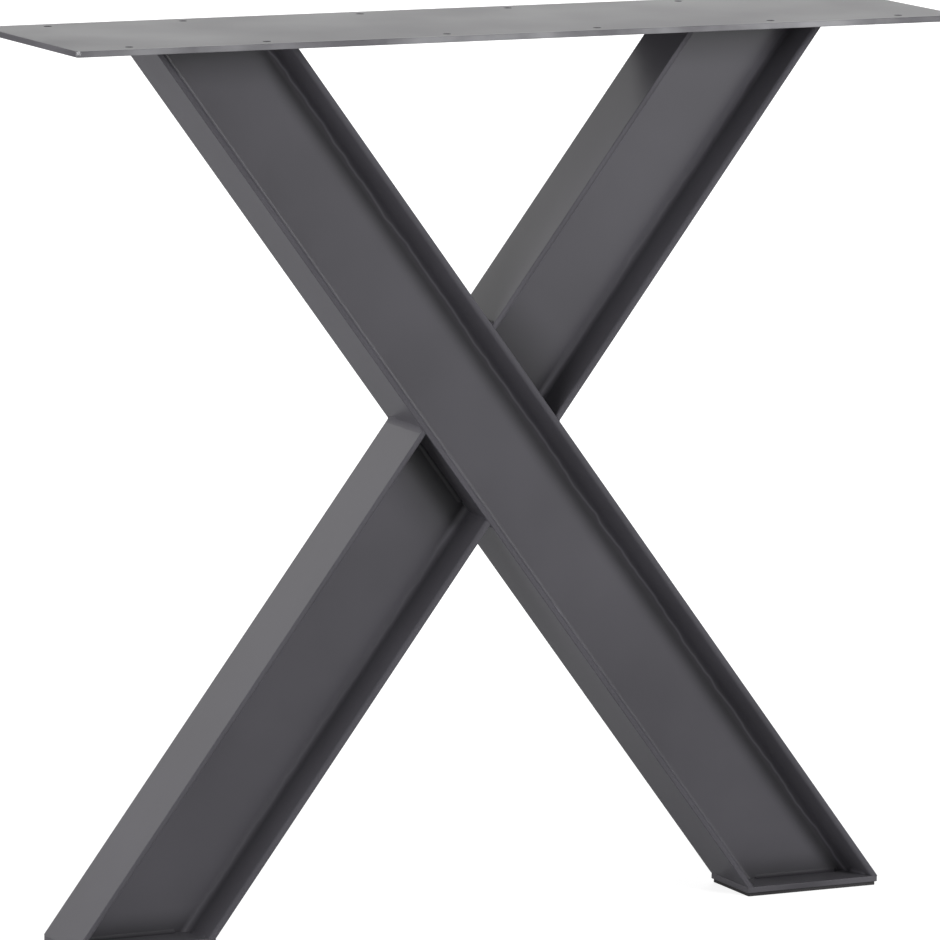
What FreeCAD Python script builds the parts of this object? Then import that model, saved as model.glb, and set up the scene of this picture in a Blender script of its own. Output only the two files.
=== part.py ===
import FreeCAD, Part
import os

import Sketcher

# X-shaped table leg: one continuous double-T beam and one cut in two, welded across each other,
# under a drilled top plate and on two foot plates with pads.
# Millimetres, +Z up, front towards -Y. The origin is on the floor, midway between the feet.

SIZES = (
    ("leg_height", 750, "floor to the top plate's upper face"),
    ("plate_length", 800, "top plate along X"),
    ("plate_width", 200, "top plate along Y"),
    ("plate_thickness", 5, "top plate"),
    ("plate_corner_radius", 2, "top plate's four corners"),
    ("plate_edge_radius", 0.6, "edges of the top plate and the foot plates"),
    ("hole_diameter", 7, "screw holes in the top plate"),
    ("hole_end_margin", 52, "plate end to the outer holes"),
    ("hole_edge_margin", 17, "long edge to each row of holes"),
    ("hole_outer_pitch", 120, "outer holes to the next"),
    ("hole_centre_gap", 136, "between the inner holes, across the middle"),
    ("top_spread", 616, "over the beams' outer faces under the top plate"),
    ("foot_spread", 742, "over the beams' outer faces on the foot plates"),
    ("beam_depth", 100, "rolled beam over its flanges"),
    ("flange_width", 68, "rolled beam across a flange"),
    ("flange_thickness", 7.6, "midway between the flange's tip and the web"),
    ("flange_run", 6, "run for each unit that the flange's inner face rises"),
    ("web_thickness", 4.5, "rolled beam"),
    ("root_radius", 6.5, "flange to web"),
    ("toe_radius", 3.3, "inner edge of a flange's tip"),
    ("beam_edge_radius", 0.7, "outer edges of the flanges"),
    ("foot_plate_thickness", 5, "foot plates"),
    ("foot_corner_radius", 2, "corners of the foot plates"),
    ("pad_thickness", 3, "pads under the foot plates"),
    ("pad_inset", 1.5, "edge of a foot plate to its pad"),
    ("weld_leg", 4, "seams along the flanges"),
    ("web_weld_leg", 3, "seams along the web"),
    ("weld_end_inset", 1, "flange's edge to the end of its seam at the crossing"),
)

# Values that follow from the sizes, in the order in which they build on each other.
LAYOUT = (
    ("beam_base", "Float", "Sizes.pad_thickness + Sizes.foot_plate_thickness"),
    ("beam_top", "Float", "Sizes.leg_height - Sizes.plate_thickness"),
    ("beam_rise", "Float", "Layout.beam_top - Layout.beam_base"),
    ("mean_spread", "Float", "(Sizes.top_spread + Sizes.foot_spread) / 2"),
    ("lean", "Angle", "acos(Sizes.beam_depth / hypot(Layout.mean_spread; Layout.beam_rise))"
                      " - atan(Layout.beam_rise / Layout.mean_spread)"),
    ("footprint", "Float", "Sizes.beam_depth / cos(Layout.lean)"),
    ("top_axis_x", "Float", "(Sizes.top_spread - Layout.footprint) / 2"),
    ("foot_axis_x", "Float", "(Sizes.foot_spread - Layout.footprint) / 2"),
    ("crossing_height", "Float", "Layout.beam_base + Layout.beam_rise * Layout.foot_axis_x"
                                 " / (Layout.foot_axis_x + Layout.top_axis_x)"),
    ("upper_reach", "Float", "(Layout.beam_top - Layout.crossing_height) / cos(Layout.lean)"),
    ("lower_reach", "Float", "(Layout.crossing_height - Layout.beam_base) / cos(Layout.lean)"),
    ("mitre_rise", "Float", "Sizes.beam_depth / 2 * tan(Layout.lean)"),
    ("notch_rise", "Float", "Sizes.beam_depth / 2 / tan(Layout.lean)"),
    ("crossing_tilt", "Angle", "90 deg - 2 * Layout.lean"),
    ("crossing_reach", "Float", "Sizes.beam_depth / 2 / cos(Layout.crossing_tilt)"),
    ("flange_overhang", "Float", "(Sizes.flange_width - Sizes.web_thickness) / 2"),
    ("tip_thickness", "Float", "Sizes.flange_thickness - Layout.flange_overhang / 2 / Sizes.flange_run"),
    ("root_thickness", "Float", "Sizes.flange_thickness + Layout.flange_overhang / 2 / Sizes.flange_run"),
)

ORIGIN = (-1, 1)
START, END, CENTRE = 1, 2, 3
GEOMETRY_TOLERANCE = 1e-4

doc = FreeCAD.newDocument("x_table_leg")


# Sheet and layout

def make_sheet():
    sheet = doc.addObject("Spreadsheet::Sheet", "Sizes")
    for row, (alias, value, note) in enumerate(SIZES, start=1):
        sheet.set(f"A{row}", note)
        sheet.set(f"B{row}", str(value))
        sheet.setAlias(f"B{row}", alias)
    doc.recompute()
    return sheet


def make_layout():
    layout = doc.addObject("App::VarSet", "Layout")
    for name, kind, expression in LAYOUT:
        layout.addProperty(f"App::Property{kind}", name, "Layout")
        layout.setExpression(name, expression)
        doc.recompute()
    return layout


sizes = make_sheet()
layout = make_layout()


def number(expression):
    value = layout.evalExpression(expression)
    return getattr(value, "Value", value)


# Sketch helpers

def vector(x, y, z=0):
    return FreeCAD.Vector(x, y, z)


def origin_plane(body, role):
    return next(plane for plane in body.Origin.OriginFeatures if plane.Role == role)


def body_sketch(body, name, role):
    sketch = body.newObject("Sketcher::SketchObject", name)
    sketch.AttachmentSupport = (origin_plane(body, role), "")
    sketch.MapMode = "FlatFace"
    return sketch


def drive(sketch, kind, places, expression):
    """Add a dimension to the sketch and bind it to an expression."""
    index = sketch.addConstraint(Sketcher.Constraint(kind, *places, number(expression)))
    sketch.setExpression(f"Constraints[{index}]", expression)


def drive_offset(sketch, axis, point, sign, expression):
    """Hold a point at a signed distance from the sketch's origin along X or Y."""
    first, last = (ORIGIN, point) if sign > 0 else (point, ORIGIN)
    drive(sketch, f"Distance{axis}", (*first, *last), expression)


def closed_outline(sketch, corners):
    """Draw a closed polygon and return its line numbers; line N starts at corner N."""
    count = len(corners)
    lines = []
    for index in range(count):
        segment = Part.LineSegment(vector(*corners[index]), vector(*corners[(index + 1) % count]))
        lines.append(sketch.addGeometry(segment, False))
    for index in range(count):
        following = lines[(index + 1) % count]
        sketch.addConstraint(Sketcher.Constraint("Coincident", lines[index], END, following, START))
    return lines


def centred_rectangle(sketch, width, depth):
    x, y = number(width) / 2, number(depth) / 2
    front, right, back, left = closed_outline(sketch, ((-x, -y), (x, -y), (x, y), (-x, y)))
    for line in (front, back):
        sketch.addConstraint(Sketcher.Constraint("Horizontal", line))
    for line in (left, right):
        sketch.addConstraint(Sketcher.Constraint("Vertical", line))
    sketch.addConstraint(Sketcher.Constraint("Symmetric", front, START, back, START, *ORIGIN))
    drive(sketch, "DistanceX", (front, START, front, END), width)
    drive(sketch, "DistanceY", (right, START, right, END), depth)


# Body helpers

def make_body(name):
    body = doc.addObject("PartDesign::Body", name)
    body.Label = name
    return body


def add_pad(body, sketch, length, midplane=False):
    pad = body.newObject("PartDesign::Pad", f"{body.Name}_pad")
    pad.Profile = sketch
    pad.setExpression("Length", length)
    if midplane:
        pad.SideType = "Symmetric"
    sketch.Visibility = False
    doc.recompute()
    return pad


def add_fillet(body, base, name, radius, chosen):
    """Round the edges of the base feature that the test 'chosen' picks."""
    edges = [f"Edge{index}" for index, edge in enumerate(base.Shape.Edges, start=1) if chosen(edge)]
    fillet = body.newObject("PartDesign::Fillet", f"{body.Name}_{name}")
    fillet.Base = (base, edges)
    fillet.setExpression("Radius", radius)
    body.Tip = fillet
    doc.recompute()
    return fillet


def along_z(edge):
    ends = [vertex.Point for vertex in edge.Vertexes]
    return len(ends) == 2 and (ends[1] - ends[0]).cross(vector(0, 0, 1)).Length < GEOMETRY_TOLERANCE


def level(edge):
    box = edge.BoundBox
    return box.ZLength < GEOMETRY_TOLERANCE


def flat_bar(name, width, depth, thickness, corner_radius, edge_radius=None):
    """Make a level rectangular plate with rounded corners, centred over its own origin."""
    body = make_body(name)
    outline = body_sketch(body, f"{name}_outline", "XY_Plane")
    centred_rectangle(outline, width, depth)
    bar = add_pad(body, outline, thickness)
    bar = add_fillet(body, bar, "corners", corner_radius, along_z)
    if edge_radius:
        bar = add_fillet(body, bar, "edges", edge_radius, level)
    return body, bar


def bind_position(item, x=None, z=None):
    for axis, expression in (("x", x), ("z", z)):
        if expression:
            item.setExpression(f"Placement.Base.{axis}", expression)


# Top plate

def make_top_plate():
    body, plate = flat_bar("top_plate", "Sizes.plate_length", "Sizes.plate_width",
                           "Sizes.plate_thickness", "Sizes.plate_corner_radius",
                           "Sizes.plate_edge_radius")
    quarter = body_sketch(body, "hole_quarter", "XY_Plane")
    outer_x = "Sizes.plate_length / 2 - Sizes.hole_end_margin"
    row_y = "Sizes.plate_width / 2 - Sizes.hole_edge_margin"
    for column_x in (outer_x, f"{outer_x} - Sizes.hole_outer_pitch", "Sizes.hole_centre_gap / 2"):
        centre = vector(number(column_x), number(row_y))
        circle = quarter.addGeometry(Part.Circle(centre, vector(0, 0, 1), number("Sizes.hole_diameter") / 2))
        drive(quarter, "Diameter", (circle,), "Sizes.hole_diameter")
        drive(quarter, "DistanceX", (*ORIGIN, circle, CENTRE), column_x)
        drive(quarter, "DistanceY", (*ORIGIN, circle, CENTRE), row_y)
    holes = body.newObject("PartDesign::Pocket", "hole_pocket")
    holes.Profile = quarter
    holes.Type = "ThroughAll"
    holes.SideType = "Symmetric"
    quarter.Visibility = False
    doc.recompute()

    pattern = body.newObject("PartDesign::MultiTransform", "hole_pattern")
    mirrors = []
    for axis in ("V_Axis", "H_Axis"):
        mirror = body.newObject("PartDesign::Mirrored", f"hole_mirror_{axis[0].lower()}")
        mirror.MirrorPlane = (quarter, [axis])
        mirrors.append(mirror)
    pattern.Originals = [holes]
    pattern.Transformations = mirrors
    body.Tip = pattern
    bind_position(body, z="Layout.beam_top")
    return body


# Rolled beams. A beam's own Z runs along it, its X crosses its flanges, and its origin is the crossing.

def make_beam(name, lean_sign, lower_left, lower_right, upper_right, upper_left):
    """Make one length of beam from the signed heights of the four corners of its side view."""
    body = make_body(name)
    corner_signs = ((-1, lower_left), (1, lower_right), (1, upper_right), (-1, upper_left))
    half_depth = "Sizes.beam_depth / 2"

    side_view = body_sketch(body, f"{name}_side_view", "XZ_Plane")
    points = [(side * number(half_depth), sign * number(height)) for side, (sign, height) in corner_signs]
    lines = closed_outline(side_view, points)
    for line, (side, (sign, height)) in zip(lines, corner_signs):
        drive_offset(side_view, "X", (line, START), side, half_depth)
        drive_offset(side_view, "Y", (line, START), sign, height)
    blank = add_pad(body, side_view, "Sizes.flange_width", midplane=True)

    channel = body_sketch(body, f"{name}_channel", "XY_Plane")
    mouth = "Sizes.beam_depth / 2 - Layout.tip_thickness"
    floor = "Sizes.beam_depth / 2 - Layout.root_thickness"
    corners = ((-1, floor, "Sizes.web_thickness / 2"), (-1, mouth, "Sizes.flange_width / 2"),
               (1, mouth, "Sizes.flange_width / 2"), (1, floor, "Sizes.web_thickness / 2"))
    lines = closed_outline(channel, [(side * number(x), -number(y)) for side, x, y in corners])
    for line, (side, x, y) in zip(lines, corners):
        drive_offset(channel, "X", (line, START), side, x)
        drive_offset(channel, "Y", (line, START), -1, y)
    front = body.newObject("PartDesign::Pocket", f"{name}_front_channel")
    front.Profile = channel
    front.Type = "ThroughAll"
    front.SideType = "Symmetric"
    channel.Visibility = False
    doc.recompute()
    both = body.newObject("PartDesign::Mirrored", f"{name}_back_channel")
    both.Originals = [front]
    both.MirrorPlane = (channel, ["H_Axis"])
    body.Tip = both
    doc.recompute()

    def at(edge, x=None, y=None):
        """Test whether an edge along the beam lies at this distance from the beam's middle planes."""
        if not along_z(edge):
            return False
        point = edge.Vertexes[0].Point
        near_x = x is None or abs(abs(point.x) - number(x)) < GEOMETRY_TOLERANCE
        near_y = y is None or abs(abs(point.y) - number(y)) < GEOMETRY_TOLERANCE
        return near_x and near_y

    rooted = add_fillet(body, both, "roots", "Sizes.root_radius",
                        lambda edge: at(edge, floor, "Sizes.web_thickness / 2"))
    toed = add_fillet(body, rooted, "toes", "Sizes.toe_radius",
                      lambda edge: at(edge, mouth, "Sizes.flange_width / 2"))
    add_fillet(body, toed, "edges", "Sizes.beam_edge_radius",
               lambda edge: at(edge, half_depth, "Sizes.flange_width / 2"))

    body.Placement = FreeCAD.Placement(vector(0, 0, 0), FreeCAD.Rotation(vector(0, 1, 0), lean_sign * 30))
    body.setExpression("Placement.Rotation.Angle", f"{lean_sign} * Layout.lean")
    bind_position(body, z="Layout.crossing_height")
    return body


def make_beams():
    long_top = (1, "Layout.upper_reach + Layout.mitre_rise")
    short_top = (1, "Layout.upper_reach - Layout.mitre_rise")
    long_foot = (-1, "Layout.lower_reach + Layout.mitre_rise")
    short_foot = (-1, "Layout.lower_reach - Layout.mitre_rise")
    continuous = make_beam("continuous_beam", -1, lower_left=short_foot, lower_right=long_foot,
                           upper_right=short_top, upper_left=long_top)
    upper = make_beam("upper_half_beam", 1, lower_left=(1, "Layout.notch_rise"),
                      lower_right=(1, "Layout.mitre_rise"), upper_right=long_top, upper_left=short_top)
    lower = make_beam("lower_half_beam", 1, lower_left=long_foot, lower_right=short_foot,
                      upper_right=(-1, "Layout.notch_rise"), upper_left=(-1, "Layout.mitre_rise"))
    return [continuous, upper, lower]


# Feet

def make_foot(side, sign):
    plate, _ = flat_bar(f"{side}_foot_plate", "Layout.footprint", "Sizes.flange_width",
                        "Sizes.foot_plate_thickness", "Sizes.foot_corner_radius",
                        "Sizes.plate_edge_radius")
    pad, _ = flat_bar(f"{side}_foot_pad", "Layout.footprint - 2 * Sizes.pad_inset",
                      "Sizes.flange_width - 2 * Sizes.pad_inset", "Sizes.pad_thickness",
                      "Sizes.foot_corner_radius")
    centre_x = f"{sign} * Layout.foot_axis_x"
    bind_position(plate, x=centre_x, z="Sizes.pad_thickness")
    bind_position(pad, x=centre_x)
    return [plate, pad]


# Weld seams. Each joint is drawn on a level face that a tilted beam stands on, then moved to its place.

ACROSS = FreeCAD.Rotation(vector(1, 0, 0), 90)
LENGTHWISE = FreeCAD.Rotation(vector(1, 1, 1), 120)
FACES = (("front", -1), ("back", 1))


def seam(name, turn, corner, sign, corner_angle, leg, length, growth="+"):
    """Make one triangular seam that grows away from the middle, or towards it, from its corner."""
    sketch = doc.addObject("Sketcher::SketchObject", f"{name}_section")
    sketch.Placement = FreeCAD.Placement(vector(0, 0, 0), turn)
    toe = f"{corner} {growth} {leg}"
    top_offset = f"{corner} {growth} {leg} * cos({corner_angle})"
    top_height = f"{leg} * sin({corner_angle})"
    points = ((sign * number(corner), 0), (sign * number(toe), 0),
              (sign * number(top_offset), number(top_height)))
    lines = closed_outline(sketch, points)
    for line, offset in zip(lines, (corner, toe, top_offset)):
        drive_offset(sketch, "X", (line, START), sign, offset)
    for line in lines[:2]:
        sketch.addConstraint(Sketcher.Constraint("PointOnObject", line, START, -1))
    drive_offset(sketch, "Y", (lines[2], START), 1, top_height)
    sketch.Visibility = False

    bead = doc.addObject("Part::Extrusion", name)
    bead.Base = sketch
    bead.DirMode = "Normal"
    bead.Solid = True
    bead.Symmetric = True
    bead.setExpression("LengthFwd", length)
    return bead


def web_seams(name, tilt):
    """Make the seams along both faces of the web."""
    length = (f"2 * (Sizes.beam_depth / 2 - Layout.root_thickness - Sizes.root_radius) / cos({tilt})"
              f" - 2 * Sizes.web_weld_leg * tan({tilt})")
    return [seam(f"{name}_web_{face}", LENGTHWISE, "Sizes.web_thickness / 2", sign, "90 deg",
                 "Sizes.web_weld_leg", length) for face, sign in FACES]


def outer_seams(name, tilt, side):
    """Make the seams along the flanges' outer faces."""
    corner = f"Sizes.beam_depth / 2 / cos({tilt})"
    length = "Sizes.flange_width - 2 * Sizes.weld_end_inset"
    return [seam(f"{name}_outer_under", ACROSS, corner, side, f"90 deg - {tilt}", "Sizes.weld_leg", length),
            seam(f"{name}_outer_over", ACROSS, corner, -side, f"90 deg + {tilt}", "Sizes.weld_leg", length)]


def inner_seams(name, tilt, side):
    """Make the seams along the flanges' tapered inner faces, clear of their roots and toes."""
    corner = f"(Sizes.beam_depth / 2 - Sizes.flange_thickness) / cos({tilt})"
    middle = "(Sizes.web_thickness + Layout.flange_overhang) / 2"
    slant = f"1 / Sizes.flange_run / cos({tilt})"
    length = f"(Layout.flange_overhang - 2 * Sizes.root_radius) * hypot(1; {slant})"
    beads = []
    for part, flange, corner_angle in (("under", -side, f"90 deg - {tilt}"), ("over", side, f"90 deg + {tilt}")):
        for face, depth_sign in FACES:
            bead = seam(f"{name}_inner_{part}_{face}", ACROSS, corner, flange, corner_angle,
                        "Sizes.weld_leg", length, growth="-")
            bead.DirMode = "Custom"
            bead.Dir = vector(flange * number(slant), depth_sign)
            bead.setExpression("Dir.x", f"{flange} * {slant}")
            bead.Base.setExpression("Placement.Base.y", f"{depth_sign} * {middle}")
            beads.append(bead)
    return beads


def make_joint(name, beads, x, z, turn):
    """Join a beam end's seams, turned about Y and moved to their place."""
    welds = doc.addObject("Part::Compound", name)
    welds.Label = name
    welds.Links = beads
    welds.Placement = FreeCAD.Placement(vector(0, 0, 0), FreeCAD.Rotation(vector(0, 1, 0), 30))
    welds.setExpression("Placement.Rotation.Angle", turn)
    bind_position(welds, x=x, z=z)
    return welds


def make_welds():
    lean, crossing_tilt = "Layout.lean", "Layout.crossing_tilt"
    end_joints = (
        ("left_foot_weld", 1, "-Layout.foot_axis_x", "Layout.beam_base", "0 deg"),
        ("right_foot_weld", -1, "Layout.foot_axis_x", "Layout.beam_base", "0 deg"),
        ("left_top_weld", -1, "-Layout.top_axis_x", "Layout.beam_top", "180 deg"),
        ("right_top_weld", 1, "Layout.top_axis_x", "Layout.beam_top", "180 deg"),
    )
    welds = []
    for name, side, x, z, turn in end_joints:
        welds.append(make_joint(name, inner_seams(name, lean, side) + web_seams(name, lean), x, z, turn))
    for name, sign, turn in (("upper_crossing_weld", "", "90 deg"), ("lower_crossing_weld", "-", "270 deg")):
        x = f"{sign}Layout.crossing_reach * sin(Layout.lean)"
        z = f"Layout.crossing_height + ({sign}Layout.crossing_reach * cos(Layout.lean))"
        beads = outer_seams(name, crossing_tilt, -1) + web_seams(name, crossing_tilt)
        welds.append(make_joint(name, beads, x, z, f"{turn} - Layout.lean"))
    return welds


# Build, check and export

def check_document():
    for item in doc.Objects:
        if "Invalid" in item.State or "Error" in item.State:
            raise RuntimeError(f"{item.Label} did not recompute: {item.State}")


def check_piece(piece):
    shape = piece.Shape
    if shape.isNull() or not shape.isValid() or not shape.Solids:
        raise RuntimeError(f"{piece.Label} has no valid solid")


pieces = [make_top_plate()]
pieces += make_beams()
for foot_side, foot_sign in (("left", -1), ("right", 1)):
    pieces += make_foot(foot_side, foot_sign)
pieces += make_welds()
doc.recompute()

check_document()
for piece in pieces:
    check_piece(piece)

os.makedirs("parts", exist_ok=True)
for piece in pieces:
    piece.Shape.exportStep(f"parts/{piece.Label}.step")
    print(piece.Label, "solids", len(piece.Shape.Solids), "volume", round(piece.Shape.Volume, 1))
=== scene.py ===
import math

import bmesh
import bpy
from mathutils import Euler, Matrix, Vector, noise


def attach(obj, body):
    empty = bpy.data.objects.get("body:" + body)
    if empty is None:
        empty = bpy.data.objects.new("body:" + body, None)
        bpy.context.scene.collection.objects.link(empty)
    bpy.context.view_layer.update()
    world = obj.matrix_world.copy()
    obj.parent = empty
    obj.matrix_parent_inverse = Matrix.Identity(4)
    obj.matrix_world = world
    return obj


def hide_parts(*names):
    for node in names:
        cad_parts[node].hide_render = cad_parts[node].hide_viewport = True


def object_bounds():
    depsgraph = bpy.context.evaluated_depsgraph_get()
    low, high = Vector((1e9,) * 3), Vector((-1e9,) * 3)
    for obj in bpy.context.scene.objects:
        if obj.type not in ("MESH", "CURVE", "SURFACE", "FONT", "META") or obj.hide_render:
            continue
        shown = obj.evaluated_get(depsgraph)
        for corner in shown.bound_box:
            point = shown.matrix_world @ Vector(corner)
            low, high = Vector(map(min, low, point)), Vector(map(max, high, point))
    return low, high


# The X-shaped table leg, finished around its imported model. Metres, +Z up, front towards -Y.

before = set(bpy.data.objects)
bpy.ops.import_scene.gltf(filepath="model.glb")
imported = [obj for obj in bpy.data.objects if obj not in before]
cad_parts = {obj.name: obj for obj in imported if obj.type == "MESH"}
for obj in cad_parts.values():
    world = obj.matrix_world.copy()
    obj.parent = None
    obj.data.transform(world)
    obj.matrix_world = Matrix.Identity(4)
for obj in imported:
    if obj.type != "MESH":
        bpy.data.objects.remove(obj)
cad_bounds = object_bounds()
LEG_LEFT, LEG_FRONT, LEG_BASE = cad_bounds[0]
LEG_BACK, LEG_TOP = cad_bounds[1][1:]
MM = 0.001

# Camera: a long lens from the left front, a little above the top plate.
CAMERA_PLACE = (-2.871, -5.894, 1.439)
CAMERA_TURN_DEGREES = (80.79, -0.578, -25.854)
CAMERA_LENS_MM = 306.85
CAMERA_SENSOR_MM = 36.0

# Lamps: name, place, aimed at, width and height of the soft box, watts, shown in reflections or not.
# Those that are not shown would clip the top plate to white in views from behind and from the side.
LAMPS = (
    ("key", (1.5, -3.0, 1.5), (0.0, 0.0, 0.5), 0.9, 0.9, 86.0, False),
    ("front_right_low", (2.8, -4.0, 0.7), (0.0, 0.0, 0.4), 1.8, 1.0, 19.0, True),
    ("left", (-4.0, -0.8, 1.4), (0.0, 0.0, 0.4), 2.0, 2.0, 70.0, False),
    ("left_low", (-3.6, -0.1, 0.5), (0.0, 0.0, 0.4), 1.8, 0.9, 42.0, False),
    ("left_back", (-4.0, 1.6, 1.2), (0.0, 0.0, 0.4), 2.0, 2.0, 7.0, True),
    ("back_left", (-3.0, 3.6, 1.4), (0.0, 0.0, 0.4), 2.0, 2.0, 9.0, True),
    ("back_middle", (-1.4, 4.5, 2.3), (0.0, 0.0, 0.5), 2.0, 1.6, 8.5, True),
    ("back_right", (2.5, 4.6, 2.15), (0.0, 0.0, 0.6), 2.4, 1.6, 13.0, True),
    ("back_fill", (2.4, 3.4, 1.2), (0.0, 0.0, 0.4), 1.6, 1.6, 100.0, False),
)
WORLD_LEVEL = 0.32

# Floor: white to the camera and mid grey to every reflection.
# Its glow hides the horizon, fully at the far reach, and leaves the shadow within the near one.
FLOOR_SIZE = 60.0
FLOOR_GREY = (0.42, 0.42, 0.43, 1.0)
FLOOR_WHITE = (0.9, 0.9, 0.9, 1.0)
GLOW_STRENGTH = 1.34
GLOW_NEAR_SHARE = 0.62
GLOW_FAR_SHARE = 1.0
GLOW_NEAR_REACH = 0.6
GLOW_FAR_REACH = 1.8

# Powder coat: anthracite with a faint violet cast.
# Its clouds run from dark to light between two levels of noise.
COAT_DARK = (0.062, 0.0595, 0.068, 1.0)
COAT_LIGHT = (0.081, 0.078, 0.089, 1.0)
PLATE_DARK = (0.050, 0.048, 0.055, 1.0)
PLATE_LIGHT = (0.105, 0.101, 0.112, 1.0)
BARE_STEEL = (0.42, 0.42, 0.43, 1.0)
PAD_BLACK = (0.030, 0.029, 0.030, 1.0)
PAD_WORN = (0.055, 0.053, 0.055, 1.0)
CLOUD_LOW = 0.15
CLOUD_HIGH = 0.85

# The beams lean by LEAN from upright and cross at CROSSING.
# The painted highlight line along a beam's roots and its flange tips lie at these distances from its axis.
LEAN = math.radians(36.927)
CROSSING = (0.0, 0.0, 0.4184)
ROOT_LINE = 0.0378
ROOT_LINE_HALF = 0.0012
ROOT_WANDER = 0.0022
ROOT_STRETCH = (14.0, 14.0, 46.0)
TIP_START = 0.041
TIP_FULL = 0.0435
TIP_FULL_END = 0.0497
TIP_END = 0.0499
TIP_ROUGHNESS = 0.6

# Painted shade in the recesses: the coat's colour is darker on a web within reach of the top plate, a foot
# plate, or the other beam's flange.
WEB_HALF = 0.034
WEB_HALF_END = 0.037
OTHER_FLANGE = 0.050
FOOT_PLATE_TOP = LEG_BASE + 8.0 * MM
TOP_PLATE_UNDERSIDE = LEG_TOP - 5.0 * MM
END_RECESS_REACH = 0.024
END_RECESS_SHARE = 0.75
CROSSING_RECESS_REACH = 0.058
RECESS_SHADE_DEPTH = 0.7

# Wear and the painted rim highlight break off between these noise levels.
WEAR_LOW = 0.35
WEAR_HIGH = 0.65

# Where the coat is chipped off the top plate.
CHIP_PLACE = (LEG_LEFT + 1.5 * MM, LEG_FRONT + 0.5 * MM, LEG_TOP - 1.5 * MM)
CHIP_REACH = 0.0032
CHIP_SCALE = 900.0
CHIP_LEAST = 0.2
CHIP_MOST = 1.6
CHIP_EDGE_START = 0.42
CHIP_EDGE_END = 0.5

# A broken pale line along the top plate's long edges: a painted highlight on their rims.
RIM_START = LEG_BACK - 4.5 * MM
RIM_FULL = LEG_BACK - 1.0 * MM
RIM_SCALE = 14.0
RIM_FAINTEST = 0.15
RIM_HIGHLIGHT = (0.26, 0.26, 0.27, 1.0)

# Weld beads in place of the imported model's plain prisms.
# The hollow, the narrow end and the wander are shares of the bead's size.
BEAD_STEP = 0.6 * MM
BEAD_FEWEST_STEPS = 8
BEAD_ARC_STEPS = 10
BEAD_HOLLOW = 0.28
RIPPLE_PITCH = 2.6 * MM
RIPPLE_HEIGHT = 0.1 * MM
RIPPLE_LAG = 0.55
BEAD_END_ROUND = 2.4 * MM
BEAD_END_SHARE = 0.08
BEAD_WANDER = 0.07
BEAD_WANDER_PACE = 90.0
BEAD_WANDER_APART = 7.3
BEAD_SINK = 0.04 * MM
BEADS_TO_A_WELD = 10
LEFT_WELDS = ("left_top_weld", "right_foot_weld")
RIGHT_WELDS = ("right_top_weld", "left_foot_weld", "upper_crossing_weld", "lower_crossing_weld")


# Node trees

def new_group(name, inputs, outputs):
    """Make a shader node group; each socket is a name with a kind or a default value."""
    tree = bpy.data.node_groups.new(name, "ShaderNodeTree")
    for label, default in inputs:
        kind = "NodeSocketColor" if isinstance(default, tuple) else "NodeSocketFloat"
        socket = tree.interface.new_socket(label, in_out="INPUT", socket_type=kind)
        socket.default_value = default
    for label, kind in outputs:
        tree.interface.new_socket(label, in_out="OUTPUT", socket_type=kind)
    return tree, tree.nodes.new("NodeGroupInput"), tree.nodes.new("NodeGroupOutput")


def add_node(tree, kind, values=None, **settings):
    """Add a node, set its attributes, and set or link its inputs."""
    node = tree.nodes.new(kind)
    for key, value in settings.items():
        setattr(node, key, value)
    for key, value in (values or {}).items():
        if isinstance(value, bpy.types.NodeSocket):
            tree.links.new(value, node.inputs[key])
        else:
            node.inputs[key].default_value = value
    return node


def add_math(tree, operation, first, second=0.0):
    """Work on one or two numbers."""
    return add_node(tree, "ShaderNodeMath", {0: first, 1: second}, operation=operation).outputs[0]


def add_vector_math(tree, operation, first, second):
    """Work on two vectors, part by part."""
    return add_node(tree, "ShaderNodeVectorMath", {0: first, 1: second}, operation=operation).outputs[0]


def add_place(tree):
    """The place on the object, in its own coordinates."""
    return add_node(tree, "ShaderNodeTexCoord").outputs["Object"]


def add_noise(tree, scale, detail):
    """Noise over the object's own coordinates; its scale counts features to the metre."""
    settings = {"Vector": add_place(tree), "Scale": scale, "Detail": detail}
    return add_node(tree, "ShaderNodeTexNoise", settings).outputs["Fac"]


def remap(tree, value, low, high, to_low, to_high):
    """Take a value from one range to another, and hold it at the ends."""
    settings = {"Value": value, "From Min": low, "From Max": high, "To Min": to_low, "To Max": to_high}
    return add_node(tree, "ShaderNodeMapRange", settings).outputs[0]


def ease(tree, value, low, high):
    """Raise a value from 0 at low to 1 at high, with soft ends."""
    settings = {"Value": value, "From Min": low, "From Max": high}
    return add_node(tree, "ShaderNodeMapRange", settings, interpolation_type="SMOOTHSTEP").outputs[0]


def mix_colours(tree, amount, first, second):
    """Mix two colours by a mask."""
    mixed = add_node(tree, "ShaderNodeMix", {"Factor": amount, "A": first, "B": second}, data_type="RGBA")
    return mixed.outputs["Result"]


def make_relief_group():
    """Height in metres: the coat's orange peel and long waves."""
    tree, given, result = new_group(
        "coat_relief",
        (("Peel Scale", 650.0), ("Peel Height", 0.00001), ("Wave Scale", 22.0), ("Wave Height", 0.0002)),
        (("Height", "NodeSocketFloat"),))
    peel = add_noise(tree, given.outputs["Peel Scale"], detail=1.5)
    wave = add_noise(tree, given.outputs["Wave Scale"], detail=1.0)
    peel_height = add_math(tree, "MULTIPLY", peel, given.outputs["Peel Height"])
    wave_height = add_math(tree, "MULTIPLY", wave, given.outputs["Wave Height"])
    tree.links.new(add_math(tree, "ADD", peel_height, wave_height), result.inputs["Height"])
    return tree


def distance_across(tree, centred, lean):
    """Turn a place upright with its beam; return it, and how far it lies from the beam's axis."""
    turned = add_node(tree, "ShaderNodeVectorRotate", {"Vector": centred, "Angle": lean},
                      rotation_type="Y_AXIS").outputs[0]
    across = add_node(tree, "ShaderNodeSeparateXYZ", {0: turned}).outputs["X"]
    return turned, add_math(tree, "ABSOLUTE", across)


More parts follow.
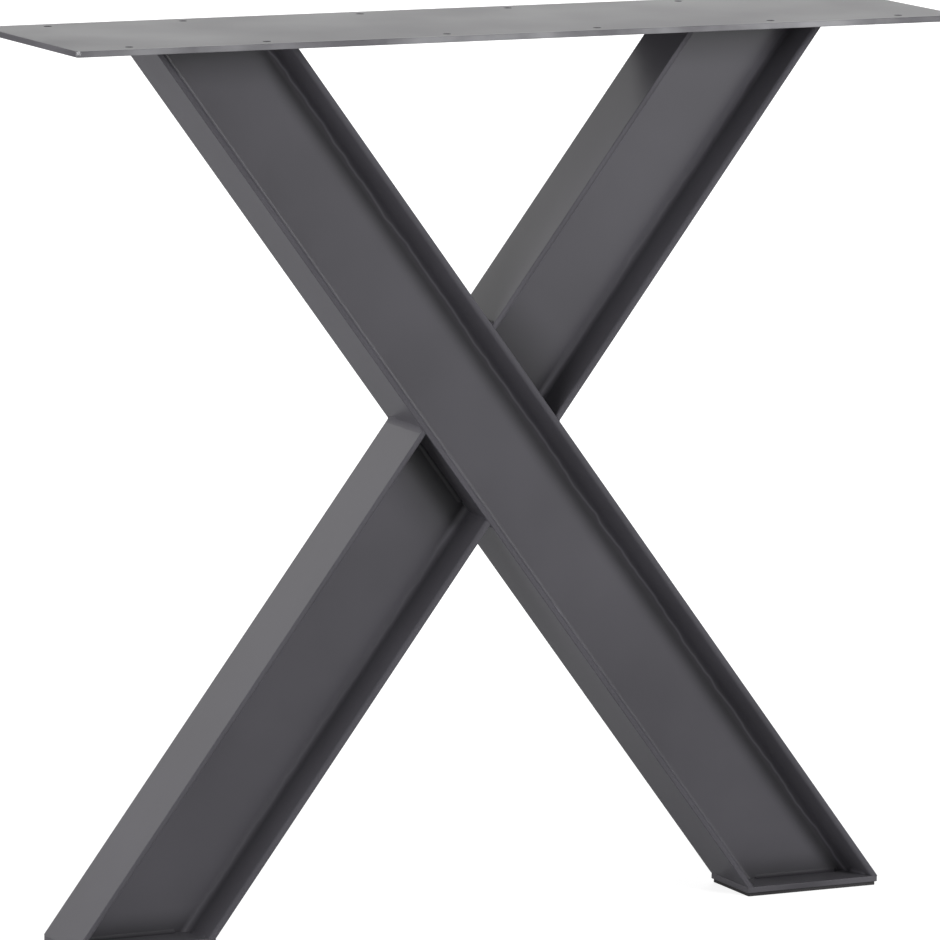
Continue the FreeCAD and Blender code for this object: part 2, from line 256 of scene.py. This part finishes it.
def make_marks_group():
    """Masks over a leaning beam: a painted highlight line along its roots, its flange tips and its painted
    recess shade.
    """
    tree, given, result = new_group(
        "beam_marks", (("Lean", 0.0), ("Cut", 0.0)),
        (("Root Highlight", "NodeSocketFloat"), ("Tip", "NodeSocketFloat"), ("Painted Recess Shade", "NodeSocketFloat")))
    place = add_place(tree)
    centred = add_vector_math(tree, "SUBTRACT", place, CROSSING)
    turned, from_axis = distance_across(tree, centred, given.outputs["Lean"])

    # Painted highlight: a pale line that wanders along the beam's roots.
    drawn = add_vector_math(tree, "MULTIPLY", turned, ROOT_STRETCH)
    uneven = add_node(tree, "ShaderNodeTexNoise", {"Vector": drawn, "Scale": 1.0, "Detail": 1.0})
    wander = remap(tree, uneven.outputs["Fac"], 0.0, 1.0, -ROOT_WANDER, ROOT_WANDER)
    wandered = add_math(tree, "ADD", from_axis, wander)
    off_line = add_math(tree, "ABSOLUTE", add_math(tree, "SUBTRACT", wandered, ROOT_LINE))
    tree.links.new(remap(tree, off_line, 0.0, ROOT_LINE_HALF, 1.0, 0.0), result.inputs["Root Highlight"])

    begins = remap(tree, from_axis, TIP_START, TIP_FULL, 0.0, 1.0)
    ends = remap(tree, from_axis, TIP_FULL_END, TIP_END, 1.0, 0.0)
    tree.links.new(add_math(tree, "MULTIPLY", begins, ends), result.inputs["Tip"])

    # Painted shade: the web's colour darkens near the top plate, the foot plates and, on the cut beam, the
    # other beam's flange.
    level = add_node(tree, "ShaderNodeSeparateXYZ", {0: place}).outputs["Z"]
    foot_recess_end = FOOT_PLATE_TOP + END_RECESS_REACH
    top_recess_start = TOP_PLATE_UNDERSIDE - END_RECESS_REACH
    by_foot = remap(tree, level, FOOT_PLATE_TOP, foot_recess_end, END_RECESS_SHARE, 0.0)
    by_top = remap(tree, level, top_recess_start, TOP_PLATE_UNDERSIDE, 0.0, END_RECESS_SHARE)
    other_lean = add_math(tree, "MULTIPLY", given.outputs["Lean"], -1.0)
    from_other = distance_across(tree, centred, other_lean)[1]
    by_other = remap(tree, from_other, OTHER_FLANGE, OTHER_FLANGE + CROSSING_RECESS_REACH, 1.0, 0.0)
    by_cut = add_math(tree, "MULTIPLY", by_other, given.outputs["Cut"])
    nearest = add_math(tree, "MAXIMUM", add_math(tree, "MAXIMUM", by_foot, by_top), by_cut)
    on_web = remap(tree, from_axis, WEB_HALF, WEB_HALF_END, 1.0, 0.0)
    tree.links.new(add_math(tree, "MULTIPLY", ease(tree, nearest, 0.0, 1.0), on_web), result.inputs["Painted Recess Shade"])
    return tree


def make_tone_group():
    """Mottled tone and gloss: broad clouds in the coat, painted highlights along the roots, dull tips and
    painted shade in recesses.
    """
    tree, given, result = new_group(
        "coat_tone",
        (("Dark", (0.0, 0.0, 0.0, 1.0)), ("Light", (1.0, 1.0, 1.0, 1.0)), ("Cloud Scale", 9.0),
         ("Low Roughness", 0.3), ("High Roughness", 0.4), ("Root Highlight Lift", 0.0),
         ("Root Highlight", 0.0), ("Tip", 0.0), ("Painted Recess Shade", 0.0)),
        (("Color", "NodeSocketColor"), ("Roughness", "NodeSocketFloat")))
    cloud = add_noise(tree, given.outputs["Cloud Scale"], detail=2.0)
    amount = ease(tree, cloud, CLOUD_LOW, CLOUD_HIGH)
    mottled = mix_colours(tree, amount, given.outputs["Dark"], given.outputs["Light"])
    # Painted shade darkens the recesses, and a painted highlight lifts the colour along the root line.
    shade = remap(tree, given.outputs["Painted Recess Shade"], 0.0, 1.0, 1.0, 1.0 - RECESS_SHADE_DEPTH)
    lifted = add_math(tree, "MULTIPLY", given.outputs["Root Highlight"], given.outputs["Root Highlight Lift"])
    level = add_math(tree, "MULTIPLY", shade, add_math(tree, "ADD", lifted, 1.0))
    shaded = add_node(tree, "ShaderNodeVectorMath", {0: mottled, "Scale": level}, operation="SCALE")
    tree.links.new(shaded.outputs[0], result.inputs["Color"])
    gloss = remap(tree, amount, 0.0, 1.0, given.outputs["Low Roughness"], given.outputs["High Roughness"])
    duller = remap(tree, given.outputs["Tip"], 0.0, 1.0, gloss, TIP_ROUGHNESS)
    tree.links.new(duller, result.inputs["Roughness"])
    return tree


RELIEF = make_relief_group()
MARKS = make_marks_group()
TONE = make_tone_group()


def place_group(tree, group, values):
    """Place a group in a material with the material's own values."""
    node = tree.nodes.new("ShaderNodeGroup")
    node.node_tree = group
    for key, value in values.items():
        node.inputs[key].default_value = value
    return node


def new_material(name):
    """Make a material; return it, its nodes and its shader."""
    material = bpy.data.materials.new(name)
    material.use_nodes = True
    tree = material.node_tree
    return material, tree, tree.nodes["Principled BSDF"]


def coat_material(name, tone, relief, specular=0.5, lean=0.0, cut=0.0):
    """Satin powder coat: a mottled tone and a bump. A leaning beam has a painted root highlight, dull tips and
    painted recess shade too; cut is 1 on the cut beam.
    """
    material, tree, shader = new_material(name)
    tone_node = place_group(tree, TONE, {"Dark": COAT_DARK, "Light": COAT_LIGHT, **tone})
    relief_node = place_group(tree, RELIEF, relief)
    bump = add_node(tree, "ShaderNodeBump", {"Height": relief_node.outputs["Height"], "Distance": 1.0})
    tree.links.new(tone_node.outputs["Color"], shader.inputs["Base Color"])
    tree.links.new(tone_node.outputs["Roughness"], shader.inputs["Roughness"])
    tree.links.new(bump.outputs["Normal"], shader.inputs["Normal"])
    shader.inputs["Specular IOR Level"].default_value = specular
    if lean:
        marks_node = place_group(tree, MARKS, {"Lean": lean, "Cut": cut})
        for label in ("Root Highlight", "Tip", "Painted Recess Shade"):
            tree.links.new(marks_node.outputs[label], tone_node.inputs[label])
    return material


def mix_over(material, amount, colour):
    """Lay a colour over the material's coat by a mask."""
    tree = material.node_tree
    shader = tree.nodes["Principled BSDF"]
    coat = shader.inputs["Base Color"].links[0].from_socket
    tree.links.new(mix_colours(tree, amount, coat, colour), shader.inputs["Base Color"])


def add_rim_highlight(material):
    """Paint a broken pale highlight along the plate's long edges."""
    tree = material.node_tree
    sideways = add_node(tree, "ShaderNodeSeparateXYZ", {0: add_place(tree)}).outputs["Y"]
    near = remap(tree, add_math(tree, "ABSOLUTE", sideways), RIM_START, RIM_FULL, 0.0, 1.0)
    broken = remap(tree, add_noise(tree, RIM_SCALE, detail=4.0), WEAR_LOW, WEAR_HIGH, RIM_FAINTEST, 1.0)
    mix_over(material, add_math(tree, "MULTIPLY", near, broken), RIM_HIGHLIGHT)


def add_chip(material):
    """Show bare steel in specks where the plate's corner has lost its coat."""
    tree = material.node_tree
    offset = add_vector_math(tree, "SUBTRACT", add_place(tree), CHIP_PLACE)
    reach = add_node(tree, "ShaderNodeVectorMath", {0: offset}, operation="LENGTH").outputs["Value"]
    near = remap(tree, reach, 0.0, CHIP_REACH, 1.0, 0.0)
    broken = remap(tree, add_noise(tree, CHIP_SCALE, detail=2.0), WEAR_LOW, WEAR_HIGH, CHIP_LEAST, CHIP_MOST)
    patchy = add_math(tree, "MULTIPLY", near, broken)
    mix_over(material, remap(tree, patchy, CHIP_EDGE_START, CHIP_EDGE_END, 0.0, 1.0), BARE_STEEL)


def make_materials():
    """Make the leg's finishes, by the piece that wears them."""
    left_tone = {"Low Roughness": 0.29, "High Roughness": 0.34, "Root Highlight Lift": 1.1}
    right_tone = {**left_tone, "Root Highlight Lift": 0.2}
    beam_relief = {"Peel Height": 0.000002, "Wave Height": 0.00020, "Wave Scale": 20.0}
    continuous = coat_material("beam_coat_leaning_left", left_tone, beam_relief, lean=LEAN)
    halves = coat_material("beam_coat_leaning_right", right_tone, beam_relief, lean=-LEAN, cut=1.0)
    plate = coat_material("plate_coat", {"Dark": PLATE_DARK, "Light": PLATE_LIGHT, "Low Roughness": 0.285,
                                         "High Roughness": 0.4, "Cloud Scale": 8.0},
                          {"Peel Height": 0.0, "Wave Height": 0.00012, "Wave Scale": 9.0})
    add_rim_highlight(plate)
    add_chip(plate)
    weld_tone = {"Low Roughness": 0.4, "High Roughness": 0.5}
    weld_relief = {"Peel Height": 0.000015, "Wave Height": 0.00003, "Wave Scale": 160.0}
    left_weld = coat_material("weld_coat_leaning_left", weld_tone, weld_relief, lean=LEAN)
    right_weld = coat_material("weld_coat_leaning_right", weld_tone, weld_relief, lean=-LEAN, cut=1.0)
    pad = coat_material("pad_rubber", {"Dark": PAD_BLACK, "Light": PAD_WORN, "Low Roughness": 0.7,
                                       "High Roughness": 0.85},
                        {"Peel Height": 0.00004, "Wave Height": 0.0001, "Wave Scale": 60.0}, specular=0.3)
    return {"continuous": continuous, "halves": halves, "plate": plate, "pad": pad,
            "left weld": left_weld, "right weld": right_weld}


MATERIALS = make_materials()


def dress(node_name, material):
    """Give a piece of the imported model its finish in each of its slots."""
    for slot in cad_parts[node_name].material_slots:
        slot.material = material


# Weld beads

def node_prisms(node_name):
    """Yield the six corners of each of a weld node's prisms."""
    mesh = bmesh.new()
    mesh.from_mesh(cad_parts[node_name].data)
    bmesh.ops.remove_doubles(mesh, verts=mesh.verts, dist=1e-6)
    waiting = set(mesh.verts)
    while waiting:
        found, edge_front = set(), [min(waiting, key=lambda corner: corner.index)]
        while edge_front:
            corner = edge_front.pop()
            if corner in found:
                continue
            found.add(corner)
            edge_front += [edge.other_vert(corner) for edge in corner.link_edges]
        waiting -= found
        yield sorted((corner.co.copy() for corner in found), key=lambda co: tuple(co))
    mesh.free()


def prism_frame(corners):
    """Return the corner line's start, the two toes beside it, and the vector along the prism."""
    far = max(corners, key=lambda co: (co - corners[0]).length)
    reach = (far - corners[0]).normalized()
    ordered = sorted(corners, key=lambda co: co.dot(reach))
    first, last = ordered[:3], ordered[3:]
    run = sum(last, Vector()) / 3 - sum(first, Vector()) / 3

    def imbalance(corner):
        others = [(corner - other).length for other in first if other is not corner]
        return abs(others[0] - others[1])

    apex = min(first, key=imbalance)
    toes = [corner for corner in first if corner is not apex]
    return apex, toes[0], toes[1], run


def bead_section(apex, toe_a, toe_b, along, width):
    """Return one section of a bead: its sunk corner, then its hollow, rippled face from toe to toe."""
    outward = ((toe_a + toe_b) / 2 - apex).normalized()
    hollow = BEAD_HOLLOW * (toe_a - apex).length
    points = [apex - outward * BEAD_SINK]
    for step in range(BEAD_ARC_STEPS + 1):
        share = step / BEAD_ARC_STEPS
        crown = 4 * share * (1 - share)
        phase = along / RIPPLE_PITCH - RIPPLE_LAG * crown
        ripple = RIPPLE_HEIGHT * abs(math.sin(math.pi * phase)) * min(1.0, 2 * crown)
        base = toe_a.lerp(toe_b, share)
        lifted = base + outward * (ripple - hollow * crown)
        points.append(apex + (lifted - apex) * width)
    return points


def add_bead(mesh, corners, seed):
    """Draw one bead along a prism, narrower at its rounded ends."""
    apex, toe_a, toe_b, run = prism_frame(corners)
    length = run.length
    steps = max(BEAD_FEWEST_STEPS, round(length / BEAD_STEP))
    rings = []
    for index in range(steps + 1):
        along = length * index / steps
        to_end = min(along, length - along) / BEAD_END_ROUND
        rounded = math.sqrt(1 - (1 - min(1.0, to_end)) ** 2)
        uneven = noise.noise(Vector((along * BEAD_WANDER_PACE, seed * BEAD_WANDER_APART, 0)))
        width = max(BEAD_END_SHARE, rounded) * (1 + BEAD_WANDER * uneven)
        offset = run * (along / length)
        section = bead_section(apex, toe_a, toe_b, along + seed * MM, width)
        rings.append([mesh.verts.new(point + offset) for point in section])
    toes = (0, 1, len(rings[0]) - 1)
    for near, far in zip(rings, rings[1:]):
        for index in range(len(near)):
            following = (index + 1) % len(near)
            mesh.faces.new((near[index], near[following], far[following], far[index]))
        for index in toes:
            mesh.edges.get((near[index], far[index])).smooth = False
    for ring in (rings[0], rings[-1]):
        mesh.faces.new(ring)
        for index, corner in enumerate(ring):
            mesh.edges.get((corner, ring[index - 1])).smooth = False


def make_weld(node_name, material, seed):
    """Replace a weld node's prisms with beads."""
    mesh = bmesh.new()
    for index, corners in enumerate(node_prisms(node_name)):
        add_bead(mesh, corners, seed * BEADS_TO_A_WELD + index)
    bmesh.ops.recalc_face_normals(mesh, faces=mesh.faces)
    for face in mesh.faces:
        face.smooth = True
    data = bpy.data.meshes.new(f"{node_name}_beads")
    mesh.to_mesh(data)
    mesh.free()
    piece = bpy.data.objects.new(f"{node_name}_beads", data)
    bpy.context.scene.collection.objects.link(piece)
    data.materials.append(material)
    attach(piece, "root")
    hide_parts(node_name)


def make_welds():
    """Make every weld in the coat of the beam that it belongs to."""
    for seed, node_name in enumerate(LEFT_WELDS + RIGHT_WELDS):
        coat = "left weld" if node_name in LEFT_WELDS else "right weld"
        make_weld(node_name, MATERIALS[coat], seed)


def dress_pieces():
    """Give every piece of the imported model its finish."""
    dress("continuous_beam", MATERIALS["continuous"])
    for node_name in ("upper_half_beam", "lower_half_beam"):
        dress(node_name, MATERIALS["halves"])
    for node_name in ("top_plate", "left_foot_plate", "right_foot_plate"):
        dress(node_name, MATERIALS["plate"])
    for node_name in ("left_foot_pad", "right_foot_pad"):
        dress(node_name, MATERIALS["pad"])


# Stage, lamps and camera

def make_floor():
    """Lay a wide pale floor that keeps the leg's shadow near its feet."""
    bpy.ops.mesh.primitive_plane_add(size=FLOOR_SIZE)
    floor = bpy.context.object
    floor.name = "floor"
    material, tree, shader = new_material("floor_white")
    seen = add_node(tree, "ShaderNodeLightPath").outputs["Is Camera Ray"]
    tree.links.new(mix_colours(tree, seen, FLOOR_GREY, FLOOR_WHITE), shader.inputs["Base Color"])
    shader.inputs["Roughness"].default_value = 1.0
    shader.inputs["Specular IOR Level"].default_value = 0.0
    glow = add_node(tree, "ShaderNodeEmission", {"Strength": GLOW_STRENGTH})
    reach = add_node(tree, "ShaderNodeVectorMath", {0: add_place(tree)}, operation="LENGTH").outputs["Value"]
    nearness = remap(tree, reach, GLOW_NEAR_REACH, GLOW_FAR_REACH, GLOW_NEAR_SHARE, GLOW_FAR_SHARE)
    share = add_math(tree, "MULTIPLY", seen, nearness)
    mixed = add_node(tree, "ShaderNodeMixShader", {0: share, 1: shader.outputs[0], 2: glow.outputs[0]})
    output = tree.nodes["Material Output"]
    tree.links.new(mixed.outputs[0], output.inputs["Surface"])
    floor.data.materials.append(material)


def make_world():
    """Light softly from all round, and show white to the camera."""
    world = bpy.data.worlds.new("studio")
    bpy.context.scene.world = world
    world.use_nodes = True
    tree = world.node_tree
    seen = add_node(tree, "ShaderNodeLightPath").outputs["Is Camera Ray"]
    level = remap(tree, seen, 0.0, 1.0, WORLD_LEVEL, 1.0)
    tree.links.new(level, tree.nodes["Background"].inputs["Strength"])
    tree.nodes["Background"].inputs["Color"].default_value = (1.0, 1.0, 1.0, 1.0)


def make_lamp(name, place, aim, width, height, watts, mirrored):
    """Hang a soft box and aim it."""
    data = bpy.data.lights.new(name, "AREA")
    data.shape = "RECTANGLE"
    data.size = width
    data.size_y = height
    data.energy = watts
    lamp = bpy.data.objects.new(name, data)
    lamp.location = place
    lamp.rotation_euler = (Vector(aim) - Vector(place)).to_track_quat("-Z", "Y").to_euler()
    lamp.visible_glossy = mirrored
    bpy.context.scene.collection.objects.link(lamp)


def make_camera():
    """Set the photo's view of the leg."""
    data = bpy.data.cameras.new("photo_camera")
    data.sensor_width = CAMERA_SENSOR_MM
    data.lens = CAMERA_LENS_MM
    camera = bpy.data.objects.new("photo_camera", data)
    camera.location = CAMERA_PLACE
    camera.rotation_euler = Euler([math.radians(angle) for angle in CAMERA_TURN_DEGREES])
    bpy.context.scene.collection.objects.link(camera)
    bpy.context.scene.camera = camera


bpy.context.scene.view_settings.view_transform = "Standard"
make_camera()
make_floor()
make_world()
for lamp in LAMPS:
    make_lamp(*lamp)
dress_pieces()
make_welds()
